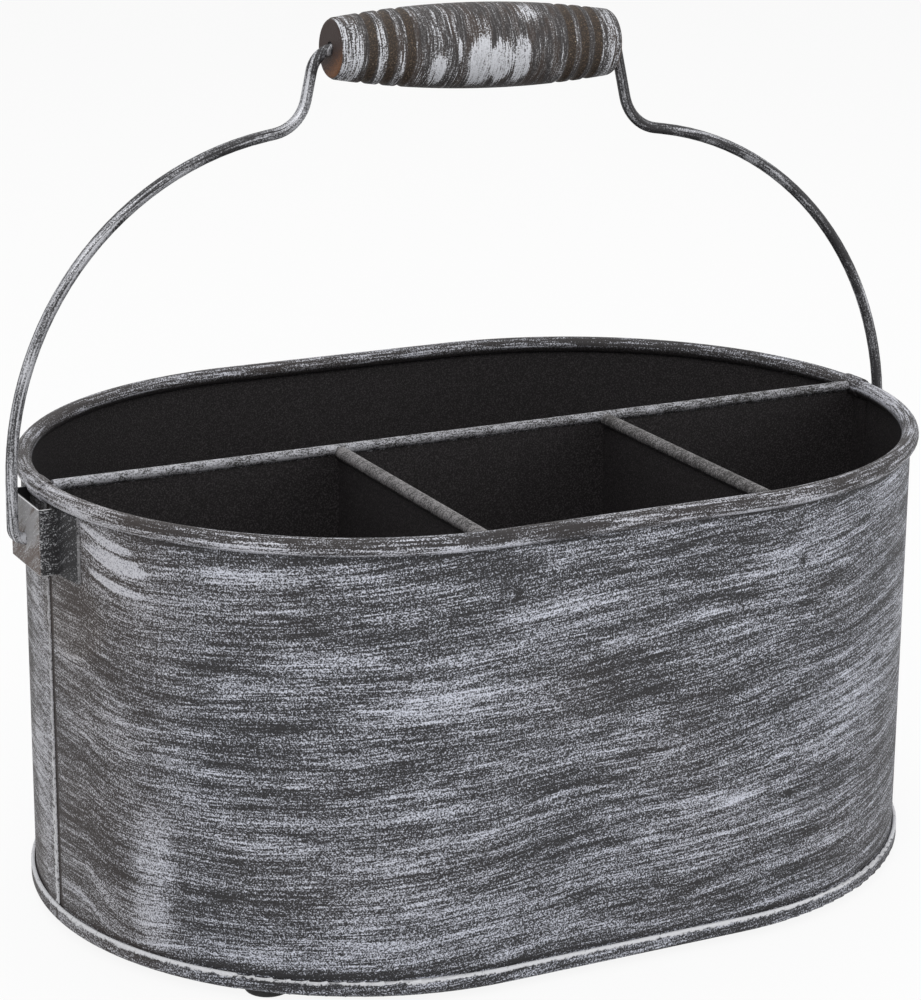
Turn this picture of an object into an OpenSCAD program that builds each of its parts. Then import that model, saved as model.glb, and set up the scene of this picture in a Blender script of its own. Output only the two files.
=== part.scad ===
// Oval sheet-metal caddy for cutlery: a tub of two lapped half sheets with a wired rim and a
// folded base seam, three dividers that make four compartments, and a wire bail with a turned grip.
// Millimetres, +Z up. X runs along the tub, and the origin is on the surface that the feet stand
// on, under the middle of the tub. The front, with the three small compartments, faces -Y.

/* [Tub] */
// Length over the rolled rim
tub_length = 290; // [250:1:340]
// Width over the rolled rim
tub_width = 210; // [180:1:230]
// Height of the rim's top above the surface it stands on
rim_height = 141; // [110:1:180]
// Thickness of the tub's sheet
sheet = 0.45; // [0.35:0.05:0.7]
// Diameter of the wire that the rim is rolled round
rim_wire_d = 4.4; // [3.5:0.1:5.5]
// Height of the folded seam round the base
seam_height = 5; // [4:0.25:8]
// Overlap of the two half sheets at each end
lap_width = 8; // [6:0.5:11]
// How far the lap's outer edge lies from the middle of the end
lap_edge = 5; // [3:0.5:5.5]
// Gap left between folded or lapped sheets
fold_gap = 0.05; // [0.03:0.01:0.1]

/* [Dividers] */
// Thickness of the dividers' sheet
divider_sheet = 0.6; // [0.4:0.05:0.9]
// Diameter of the long divider's rolled top edge
long_bead_d = 3.2; // [2.4:0.1:4.5]
// Diameter of the cross dividers' rolled top edges
cross_bead_d = 4.2; // [2.4:0.1:5]
// How far the long divider's top lies below the rim's top
long_drop = 0.6; // [0:0.1:6]
// How far the cross dividers' tops lie below the rim's top
cross_drop = 1; // [0:0.1:6]
// Distance between the two cross dividers
cross_spacing = 93; // [70:1:130]
// Width of the tabs that hold the dividers to the walls
tab_width = 8; // [5:0.5:14]
// Clearance between a divider's top corner and the rolled rim
notch_gap = 0.3; // [0.2:0.05:1]

/* [Ears] */
// Width of an ear's raised face
ear_width = 26; // [20:0.5:36]
// Height of an ear
ear_height = 20; // [16:0.5:26]
// Width of each wing that lies on the wall
ear_wing = 11.5; // [8:0.5:18]
// Thickness of an ear's sheet
ear_sheet = 0.8; // [0.6:0.05:1.2]
// How far an ear's face stands off the wall
ear_standoff = 5.4; // [4.5:0.1:9]
// Outer radius of the bends beside an ear's face
ear_bend = 1.5; // [1.3:0.1:2.5]
// Height of the bail's pivot below the rim's top
pivot_drop = 17.3; // [14:0.1:22]

/* [Bail] */
// Diameter of the bail's wire
bail_wire_d = 3.5; // [2.5:0.1:4.5]
// Clearance round the wire in an ear's hole
pivot_clear = 0.25; // [0.15:0.05:0.5]
// Gap between a leg of the bail and the ear's face
leg_gap = 1.85; // [1:0.05:4]
// Height above the pivot where the legs start to arch
leg_rise = 11.5; // [9:0.25:30]
// Radius of the hooks that turn into the ears
hook_r = 3.5; // [3:0.1:4]
// Slope of the wire where the arch meets the left shoulder, in degrees
slope_left = 10.5; // [2:0.1:15]
// Slope of the wire where the arch meets the right shoulder, in degrees
slope_right = 7.1; // [2:0.1:15]
// Straight length between the arch and the shoulder
slope_length = 3; // [2:0.5:15]
// Radius of the bend from the arch up to the grip
shoulder_r = 12.9; // [6:0.1:18]
// Straight length of the left neck, between its shoulder and its bend
neck_length = 8.5; // [1:0.5:20]
// Slant of both necks inwards to the grip, in degrees
neck_slant = 12.3; // [0:0.1:18]
// Radius of the hand-made bend at the grip's left end
neck_r_left = 8.3; // [5:0.1:12]
// Radius of the tighter bend at the grip's right end
neck_r_right = 3; // [2.8:0.1:12]
// How much thicker the wire is where it is bent
bend_swell = 0.02; // [0.01:0.01:0.1]
// Lean of the bail towards the back, in degrees
bail_lean = 4.7; // [0:0.1:20]
// Sideways tilt of the hand-bent arch, in degrees
bail_skew = 2; // [0:0.1:2.5]

/* [Grip] */
// Length of the turned grip
grip_length = 95; // [80:1:120]
// Diameter of the grip at its middle
grip_d = 26.2; // [20:0.1:34]
// Mean diameter of the grip at its ends
grip_end_d = 19.3; // [16:0.1:24]
// How far the thickest place lies to the right of the grip's middle
crown_shift = 3.7; // [0:0.1:6]
// Radius of the rounded edge at each end
grip_edge_r = 1.2; // [0.8:0.1:3.5]
// Clearance round the wire in the grip's bore
bore_clear = 0.4; // [0.2:0.05:0.8]
// Play between the grip's right end and the bend there
grip_play = 0.3; // [0.2:0.1:2]
// Distance of the innermost left groove from the grip's left end
groove_inset_left = 21.7; // [18:0.1:26]
// Distance of the innermost right groove from the grip's right end
groove_inset_right = 19; // [17:0.1:26]
// Spacing of the three grooves at the left end
groove_pitch_left = 6; // [4:0.1:7.5]
// Spacing of the three grooves at the right end
groove_pitch_right = 4.9; // [4:0.1:7.5]
// Depth of a groove
groove_depth = 0.5; // [0.3:0.1:1.5]
// Radius of the gouge that cuts a groove
groove_r = 2.8; // [1.6:0.1:3.5]

/* [Feet] */
// Diameter of a foot
foot_d = 14; // [10:0.5:20]
// Height of a foot
foot_height = 3; // [2:0.25:6]
// Radius of a foot's lower edge
foot_edge_r = 1; // [0.5:0.1:1.5]
// Distance from a foot's outer edge to the wall above it
foot_inset = 1.1; // [0:0.1:20]
// Place of the left feet round the tub's end, in degrees from the long axis
foot_angle_left = 48.7; // [30:0.1:70]
// Place of the right feet round the tub's end, in degrees from the long axis
foot_angle_right = 57; // [30:0.1:70]

/* [Hidden] */
$fa = 3;
$fs = 0.35;

// Tub: the ends are half circles about two centres, joined by straight sides
straight_run = tub_length - tub_width;
rim_d = rim_wire_d + 2 * (sheet + fold_gap);
rim_z = rim_height - rim_d / 2;
wall_r = (tub_width - rim_d) / 2;
wall_in_r = wall_r - sheet / 2;
wall_out_r = wall_r + sheet / 2;

// Base seam: the wall's hook and the base's hem hold each other, sheet over sheet
fold_r = (3 * sheet + 2 * fold_gap) / 2;
base_z = foot_height;
base_corner_r = fold_r + fold_gap + sheet;
hook_fold_r = wall_in_r + fold_r;
hook_fold_z = base_z + base_corner_r;
base_out_r = hook_fold_r + base_corner_r;
hem_fold_r = base_out_r - fold_r;
hem_fold_z = base_z + seam_height - fold_r;
floor_z = base_z + sheet;

// Lap: one half sheet steps out and covers the other's end
lap_r = wall_out_r + fold_gap;
lap_out_r = lap_r + sheet;
lap_low_z = base_z + seam_height + fold_gap;
lap_high_z = rim_height - rim_d - fold_gap;
lap_edge_angle = asin(lap_edge / wall_r);
tuck_angle = asin((lap_width - lap_edge) / wall_r);
joggle_angle = asin(2 * sheet / wall_r);
lap_rim_d = rim_d + 2 * (fold_gap + sheet);
butt_angle = asin(fold_gap / wall_r);

// Dividers
divider_z = floor_z + fold_gap;
notch_z = rim_height - rim_d - notch_gap;
rim_in_r = wall_r - rim_d / 2 - notch_gap;
long_notch_z = rim_z - lap_rim_d / 2 - notch_gap;
long_rim_in_r = wall_r - lap_rim_d / 2 - notch_gap;
tab_r = wall_in_r - fold_gap;
cross_x = cross_spacing / 2;
cross_wall_y = side_y(cross_x, tab_r);
cross_rim_y = side_y(cross_x, rim_in_r);
cross_tab_z = min(notch_z, rim_height - long_drop - long_bead_d - fold_gap);

// Ears and pivot
pivot_z = rim_height - pivot_drop;
ear_r = wall_out_r + fold_gap;
ear_face_x = straight_run / 2 + wall_out_r + ear_standoff;
ear_high_z = rim_height - rim_d - fold_gap;
ear_side_y = ear_width / 2;

// Bail, drawn flat in its own plane: x across, y up from the pivot
leg_x = ear_face_x + leg_gap + bail_wire_d / 2;
pin_end_x = straight_run / 2 + lap_out_r + ear_sheet;
bore_give = 0.6 * bore_clear;
bend_tuck = sqrt(pow(neck_r_left, 2) - pow(neck_r_left - bore_give, 2));
bend_x = (grip_length + grip_play - bend_tuck) / 2;
grip_slide = (grip_play + bend_tuck) / 2;
arch_x = leg_x * cos(bail_skew);
grip_y = short_rise(slope_left, neck_r_left) + neck_length * neck_lift(slope_left);

// Each straight length of wire runs on a little inside the bends that it joins
run_seat = 0.2;

// Grip: the barrel's side is one long arc
barrel_drop = (grip_d - grip_end_d) / 2;
barrel_r = (pow(grip_length / 2, 2) + pow(barrel_drop, 2)) / (2 * barrel_drop);
bore_d = bail_wire_d + 2 * bore_clear;

// Feet
foot_reach = wall_r - foot_inset - foot_d / 2;

// Distance of an oval of the given end radius from the long axis, at a place along that axis
function side_y(x, r) = sqrt(pow(r, 2) - pow(max(0, abs(x) - straight_run / 2), 2));

// Radius of the barrel's side at a distance from the grip's middle
function barrel_at(x) = grip_d / 2 - barrel_r + sqrt(pow(barrel_r, 2) - pow(x - crown_shift, 2));

// Radius of the flat at one end of the grip, inside its rounded edge
function end_flat_r(side) = barrel_at(side * grip_length / 2) - grip_edge_r;

// Radius that one side's arch would have if its neck had no length
function short_arch_r(slope, bend_r) =
    (arch_x - bend_x - (bend_r + shoulder_r) * cos(neck_slant) + shoulder_r * sin(slope)
        - slope_length * cos(slope)) / (1 - sin(slope));

// Height of the wire in the grip if that side's neck had no length
function short_rise(slope, bend_r) =
    leg_rise + short_arch_r(slope, bend_r) * cos(slope) + slope_length * sin(slope)
        + shoulder_r * cos(slope) - (shoulder_r + bend_r) * sin(neck_slant) + bend_r;

// Height that each millimetre of a neck adds
function neck_lift(slope) = cos(neck_slant) - sin(neck_slant) * cos(slope) / (1 - sin(slope));

// A section (x outwards, y up) swept round the tub's right end between two angles
module round_end(from, to) {
    translate([straight_run / 2, 0, 0])
        rotate([0, 0, from])
            rotate_extrude(angle = to - from)
                children();
}

// The same section swept along one straight side of the tub
module straight_side(side) {
    mirror([0, side < 0 ? 1 : 0, 0])
        translate([-straight_run / 2, 0, 0])
            rotate([90, 0, 90])
                linear_extrude(height = straight_run)
                    children();
}

// The same section swept all the way round the tub
module oval_sweep() {
    round_end(-90, 90) children();
    mirror([1, 0, 0])
        round_end(-90, 90) children();
    straight_side(1) children();
    straight_side(-1) children();
}

// Section of a sheet's edge rolled to a bead, with the slit where the roll closes
module rolled_edge(d, thickness) {
    slit = thickness;
    difference() {
        circle(d = d);
        circle(d = d - 2 * thickness);
        rotate(-65)
            translate([0, -slit / 2])
                square([d, slit]);
    }
}

// Section of a sheet folded back on itself, opening upwards
module half_fold(r) {
    difference() {
        circle(r = r);
        circle(r = r - sheet);
        translate([-2 * r, 0])
            square([4 * r, 2 * r]);
    }
}

// Section of a bent corner of any sheet, from straight down to straight out
module quarter_fold(r, thickness) {
    intersection() {
        difference() {
            circle(r = r);
            circle(r = r - thickness);
        }
        translate([0, -2 * r])
            square([2 * r, 2 * r]);
    }
}

// Section of a half wall: rolled rim, plain wall, and the hook in the base seam
module wall_section() {
    translate([wall_r, rim_z])
        rolled_edge(rim_d, sheet);
    translate([wall_in_r, hook_fold_z])
        square([sheet, rim_z - rim_d / 2 + sheet / 2 - hook_fold_z]);
    translate([hook_fold_r, hook_fold_z])
        half_fold(fold_r);
    translate([hook_fold_r + fold_r - sheet, hook_fold_z])
        square([sheet, hem_fold_z - fold_gap - hook_fold_z]);
}

// Section of the base: flat floor, corner, outer fold and the hem inside the wall's hook
module base_section() {
    translate([0, base_z])
        square([hook_fold_r, sheet]);
    translate([hook_fold_r, hook_fold_z])
        quarter_fold(base_corner_r, sheet);
    translate([base_out_r - sheet, hook_fold_z])
        square([sheet, hem_fold_z - hook_fold_z]);
    translate([hem_fold_r, hem_fold_z])
        rotate(180)
            half_fold(fold_r);
    translate([hem_fold_r - fold_r, hook_fold_z + fold_gap])
        square([sheet, hem_fold_z - hook_fold_z - fold_gap]);
}

// Part of a ring round the tub's end, as a section between two radii and two heights
module band_section(inner, outer, low, high) {
    translate([inner, low])
        square([outer - inner, high - low]);
}

// Section of the outer sheet over a lap: its rim is rolled over the other's, open below for that wall
module lap_section() {
    slot = 3 * sheet;
    band_section(lap_r, lap_out_r, lap_low_z, lap_high_z);
    translate([wall_r, rim_z])
        difference() {
            circle(d = lap_rim_d);
            circle(d = lap_rim_d - 2 * sheet);
            translate([sheet / 2 + fold_gap - slot, -lap_rim_d])
                square([slot, lap_rim_d]);
        }
}

// Section of the step where that sheet leaves its own line for the lap
module joggle_section() {
    band_section(wall_r, lap_r + sheet / 2, lap_low_z + sheet, lap_high_z);
    translate([wall_r, rim_z])
        difference() {
            circle(d = lap_rim_d - sheet);
            circle(d = rim_d - sheet);
        }
}

// One half sheet, placed as the front: tucked under at the left, stepped out over the right
module half_wall() {
    mirror([1, 0, 0])
        round_end(-90, tuck_angle - butt_angle)
            wall_section();
    straight_side(-1)
        wall_section();
    round_end(-90, -tuck_angle)
        wall_section();
    round_end(-tuck_angle - joggle_angle, -tuck_angle)
        joggle_section();
    round_end(-tuck_angle - joggle_angle, lap_edge_angle)
        lap_section();
}

module front_wall() {
    color("#3a3b3f")
        half_wall();
}

module back_wall() {
    color("#3f4044")
        rotate([0, 0, 180])
            half_wall();
}

module rim_wire() {
    color("#8c8c8c")
        oval_sweep()
            translate([wall_r, rim_z])
                circle(d = rim_wire_d);
}

module base_pan() {
    color("#2c2d30")
        oval_sweep()
            base_section();
}

// The long divider's tab at one end, bent round on to the wall's inside
module long_tab() {
    translate([0, 0, divider_z])
        linear_extrude(height = long_notch_z - divider_z)
            translate([straight_run / 2, 0])
                intersection() {
                    difference() {
                        circle(r = tab_r);
                        circle(r = tab_r - divider_sheet);
                    }
                    translate([0, -tab_width])
                        square([tab_r, tab_width]);
                }
}

module long_divider() {
    low_reach = straight_run / 2 + tab_r - divider_sheet / 2;
    high_reach = straight_run / 2 + long_rim_in_r;
    bead_z = rim_height - long_drop - long_bead_d / 2;
    web_top_z = bead_z - long_bead_d / 2 + divider_sheet / 2;
    color("#4a4a4c") {
        translate([-low_reach, -divider_sheet / 2, divider_z])
            cube([2 * low_reach, divider_sheet, long_notch_z - divider_z]);
        translate([-high_reach, -divider_sheet / 2, divider_z])
            cube([2 * high_reach, divider_sheet, web_top_z - divider_z]);
        translate([-high_reach, 0, bead_z])
            rotate([90, 0, 90])
                linear_extrude(height = 2 * high_reach)
                    rolled_edge(long_bead_d, divider_sheet);
        for (turn = [0, 180])
            rotate([0, 0, turn])
                long_tab();
    }
}

// A cross divider on one side of the middle, with one tab on the front wall and one on the long divider
module cross_divider(side) {
    x = side * cross_x;
    back_y = divider_sheet / 2 + fold_gap;
    bead_back_y = long_bead_d / 2 + fold_gap;
    bead_z = rim_height - cross_drop - cross_bead_d / 2;
    web_top_z = bead_z - cross_bead_d / 2 + divider_sheet / 2;
    front_tab_x = side > 0 ? x - tab_width : x;
    color("#4b4643") {
        translate([x - divider_sheet / 2, -cross_wall_y, divider_z])
            cube([divider_sheet, cross_wall_y - back_y, cross_tab_z - divider_z]);
        translate([x - divider_sheet / 2, -cross_rim_y, divider_z])
            cube([divider_sheet, cross_rim_y - bead_back_y, web_top_z - divider_z]);
        translate([x, -bead_back_y, bead_z])
            rotate([90, 0, 0])
                linear_extrude(height = cross_rim_y - bead_back_y)
                    rolled_edge(cross_bead_d, divider_sheet);
        translate([front_tab_x, -cross_wall_y, divider_z])
            cube([tab_width, divider_sheet, cross_tab_z - divider_z]);
        translate([x, -back_y - divider_sheet, divider_z])
            cube([tab_width, divider_sheet, cross_tab_z - divider_z]);
    }
}

// Plan of the right-hand ear: face, two bent corners and sides, and wings that lie on the wall
module ear_plan() {
    side_x = straight_run / 2 + sqrt(pow(ear_r, 2) - pow(ear_side_y - ear_sheet, 2));
    translate([ear_face_x - ear_sheet, -ear_side_y + ear_bend])
        square([ear_sheet, ear_width - 2 * ear_bend]);
    for (side = [0, 1])
        mirror([0, side, 0]) {
            translate([ear_face_x - ear_bend, -ear_side_y + ear_bend])
                quarter_fold(ear_bend, ear_sheet);
            translate([side_x, -ear_side_y])
                square([ear_face_x - ear_bend - side_x, ear_sheet]);
            intersection() {
                translate([straight_run / 2, 0])
                    difference() {
                        circle(r = ear_r + ear_sheet);
                        circle(r = ear_r);
                    }
                translate([straight_run / 2, -ear_side_y - ear_wing])
                    square([ear_r + ear_sheet, ear_wing + ear_sheet]);
            }
        }
}

module ear() {
    difference() {
        translate([0, 0, ear_high_z - ear_height])
            linear_extrude(height = ear_height)
                ear_plan();
        translate([ear_face_x - 2 * ear_sheet, 0, pivot_z])
            rotate([0, 90, 0])
                cylinder(h = 3 * ear_sheet, d = bail_wire_d + 2 * pivot_clear);
    }
}

module ear_left() {
    color("#8d8b88")
        mirror([1, 0, 0])
            ear();
}

module ear_right() {
    color("#8d8b88")
        ear();
}

// Stands the bail's own plane up at the pivot
module bail_plane() {
    translate([0, 0, pivot_z])
        rotate([90 - bail_lean, 0, 0])
            children();
}

// A straight length of wire from a point, along a direction in degrees
module wire_run(from, direction, length) {
    translate([from[0], from[1], 0])
        rotate([0, 0, direction])
            translate([-run_seat, 0, 0])
                rotate([0, 90, 0])
                    cylinder(h = length + 2 * run_seat, d = bail_wire_d);
}

// A bent length of wire about a centre, between two angles
module wire_bend(centre, r, from, to) {
    translate([centre[0], centre[1], 0])
        rotate([0, 0, from])
            rotate_extrude(angle = to - from)
                translate([r, 0])
                    circle(d = bail_wire_d + bend_swell);
}

// Right side of the bail, from the bend at the grip to the end of the pin
module half_bail(tilt, slope, bend_r) {
    hook_turn = 90 - tilt;
    hook_length = hook_r * tan(hook_turn / 2);
    leg_low_y = leg_x * sin(tilt) + hook_length;
    neck = (grip_y - short_rise(slope, bend_r)) / neck_lift(slope);
    arch_r = short_arch_r(slope, bend_r) - neck * sin(neck_slant) / (1 - sin(slope));
    arch_centre = [arch_x - arch_r, leg_rise];
    arch_end = arch_centre + arch_r * [sin(slope), cos(slope)];
    shoulder = arch_end + slope_length * [-cos(slope), sin(slope)]
        + shoulder_r * [sin(slope), cos(slope)];
    neck_foot = shoulder - shoulder_r * [cos(neck_slant), sin(neck_slant)];
    rotate([0, 0, -tilt]) {
        wire_bend([bend_x, grip_y - bend_r], bend_r, neck_slant, 90);
        wire_run(neck_foot, 90 + neck_slant, neck);
        wire_bend(shoulder, shoulder_r, 180 + neck_slant, 270 - slope);
        wire_run(arch_end, 180 - slope, slope_length);
        wire_bend(arch_centre, arch_r, 0, 90 - slope);
        wire_run([arch_x, leg_low_y], 90, leg_rise - leg_low_y);
    }
    wire_bend([leg_x - hook_length, hook_r], hook_r, 270, 270 + hook_turn);
    wire_run([pin_end_x + run_seat, 0], 0, leg_x - hook_length - pin_end_x - run_seat);
}

module bail() {
    color("#55565a")
        bail_plane() {
            rotate([0, 0, -bail_skew])
                wire_run([-bend_x, grip_y], 0, 2 * bend_x);
            half_bail(bail_skew, slope_right, neck_r_right);
            mirror([1, 0, 0])
                half_bail(-bail_skew, slope_left, neck_r_left);
        }
}

// Half section of the grip: radius across, length up, with its bore and grooves
module grip_section() {
    half = grip_length / 2;
    difference() {
        intersection() {
            translate([grip_d / 2 - barrel_r, crown_shift])
                circle(r = barrel_r, $fn = 720);
            union() {
                translate([bore_d / 2, -half + grip_edge_r])
                    square([grip_d, grip_length - 2 * grip_edge_r]);
                for (side = [-1, 1]) {
                    translate([bore_d / 2, side * half / 2 - half / 2])
                        square([end_flat_r(side) - bore_d / 2, half]);
                    translate([end_flat_r(side), side * (half - grip_edge_r)])
                        circle(r = grip_edge_r);
                }
            }
        }
        for (i = [0:2]) {
            groove(groove_inset_left - half - i * groove_pitch_left);
            groove(half - groove_inset_right + i * groove_pitch_right);
        }
    }
}

// The gouge's path for one round-bottomed groove, at a distance from the grip's middle
module groove(x) {
    translate([barrel_at(x) + groove_r - groove_depth, x])
        circle(r = groove_r);
}

module grip() {
    color("#4d4038")
        bail_plane()
            rotate([0, 0, -bail_skew])
                translate([-grip_slide, grip_y, 0])
                    rotate([0, 90, 0])
                        rotate_extrude()
                            grip_section();
}

// A round foot under the floor, with its lower edge rounded
module foot(side_x, side_y) {
    flat_r = foot_d / 2 - foot_edge_r;
    angle = side_x < 0 ? foot_angle_left : foot_angle_right;
    foot_x = straight_run / 2 + foot_reach * cos(angle);
    foot_y = foot_reach * sin(angle);
    color("#1d1d1f")
        translate([side_x * foot_x, side_y * foot_y, 0])
            rotate_extrude() {
                translate([0, foot_edge_r])
                    square([foot_d / 2, foot_height - foot_edge_r]);
                square([flat_r, foot_height]);
                translate([flat_r, foot_edge_r])
                    circle(r = foot_edge_r);
            }
}

front_wall();
back_wall();
rim_wire();
base_pan();
long_divider();
cross_divider(-1);  // cross_divider_left
cross_divider(1);  // cross_divider_right
ear_left();
ear_right();
bail();
grip();
foot(-1, -1);  // foot_front_left
foot(1, -1);  // foot_front_right
foot(-1, 1);  // foot_back_left
foot(1, 1);  // foot_back_right
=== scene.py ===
"""Looks of an oval painted cutlery caddy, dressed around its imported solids.

The finishes work in millimetres: each shader takes Object coordinates times a thousand, in the
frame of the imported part, with X along the tub, the front facing -Y and Z up from the feet.
"""

from __future__ import annotations

import logging
import math
from dataclasses import dataclass
from enum import Enum
from typing import Any, Mapping, Sequence, Union

import bpy
from mathutils import Matrix, Vector


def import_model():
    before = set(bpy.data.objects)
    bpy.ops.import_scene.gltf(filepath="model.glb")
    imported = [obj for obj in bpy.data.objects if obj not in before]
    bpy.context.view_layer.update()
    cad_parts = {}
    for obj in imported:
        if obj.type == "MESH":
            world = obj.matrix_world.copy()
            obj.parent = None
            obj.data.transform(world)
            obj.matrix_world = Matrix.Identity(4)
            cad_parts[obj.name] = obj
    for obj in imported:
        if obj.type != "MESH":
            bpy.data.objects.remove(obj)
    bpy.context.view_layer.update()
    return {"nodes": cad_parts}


LOG = logging.getLogger("caddy")
MM_PER_M = 1000.0
MID_NOISE = 0.5
GRAIN_TURN = (0.7, 0.5, 0.4)
WHITE = (1.0, 1.0, 1.0)

Colour = tuple[float, float, float]
Point = tuple[float, float, float]
# Where a smooth step starts and where it ends
Span = tuple[float, float]
Value = Union["Signal", float]


class Axis(Enum):
    """Components of a place on the part, by their output on a Separate XYZ node."""

    ALONG = 0
    ACROSS = 1
    UP = 2


class Signal:
    """A shader output that takes part in Python arithmetic."""

    def __init__(self, tree: "ShaderTree", socket: bpy.types.NodeSocket) -> None:
        """Keep the socket and the tree that it belongs to.

        Args:
            tree: The material's node tree.
            socket: An output of one of its nodes.
        """
        self.tree = tree
        self.socket = socket

    def _math(self, operation: str, *terms: Value) -> "Signal":
        """Add one Math node.

        Args:
            operation: Name of the node's operation.
            terms: Values or signals, in the order of the node's inputs.

        Returns:
            The node's result.
        """
        return self.tree.add("ShaderNodeMath", {"operation": operation}, dict(enumerate(terms)))

    def __add__(self, other: Value) -> "Signal":
        """Return this plus other."""
        return self._math("ADD", self, other)

    def __radd__(self, other: Value) -> "Signal":
        """Return other plus this."""
        return self._math("ADD", other, self)

    def __sub__(self, other: Value) -> "Signal":
        """Return this less other."""
        return self._math("SUBTRACT", self, other)

    def __rsub__(self, other: Value) -> "Signal":
        """Return other less this."""
        return self._math("SUBTRACT", other, self)

    def __mul__(self, other: Value) -> "Signal":
        """Return this times other."""
        return self._math("MULTIPLY", self, other)

    def __rmul__(self, other: Value) -> "Signal":
        """Return other times this."""
        return self._math("MULTIPLY", other, self)

    def __pow__(self, power: Value) -> "Signal":
        """Return this to a power."""
        return self._math("POWER", self, power)

    def __abs__(self) -> "Signal":
        """Return the distance from nought."""
        return self._math("ABSOLUTE", self)

    def sign(self) -> "Signal":
        """Return 1 above nought and -1 below."""
        return self._math("SIGN", self)

    def at_least(self, other: Value) -> "Signal":
        """Return the larger of this and other."""
        return self._math("MAXIMUM", self, other)

    def at_most(self, other: Value) -> "Signal":
        """Return the smaller of this and other."""
        return self._math("MINIMUM", self, other)

    def angle_from(self, base: Value) -> "Signal":
        """Return the angle whose rise is this and whose run is base, in radians."""
        return self._math("ARCTAN2", self, base)

    def rise(self, low: Value, high: Value) -> "Signal":
        """Return a smooth step.

        Args:
            low: Where it is still 0.
            high: Where it has reached 1.

        Returns:
            The step, from 0 to 1.
        """
        return self.tree.add(
            "ShaderNodeMapRange",
            {"interpolation_type": "SMOOTHSTEP"},
            {"Value": self, "From Min": low, "From Max": high},
        )

    def fall(self, low: Value, high: Value) -> "Signal":
        """Return a smooth step down.

        Args:
            low: Where it is still 1.
            high: Where it has reached 0.

        Returns:
            The step, from 1 to 0.
        """
        return 1.0 - self.rise(low, high)


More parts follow.
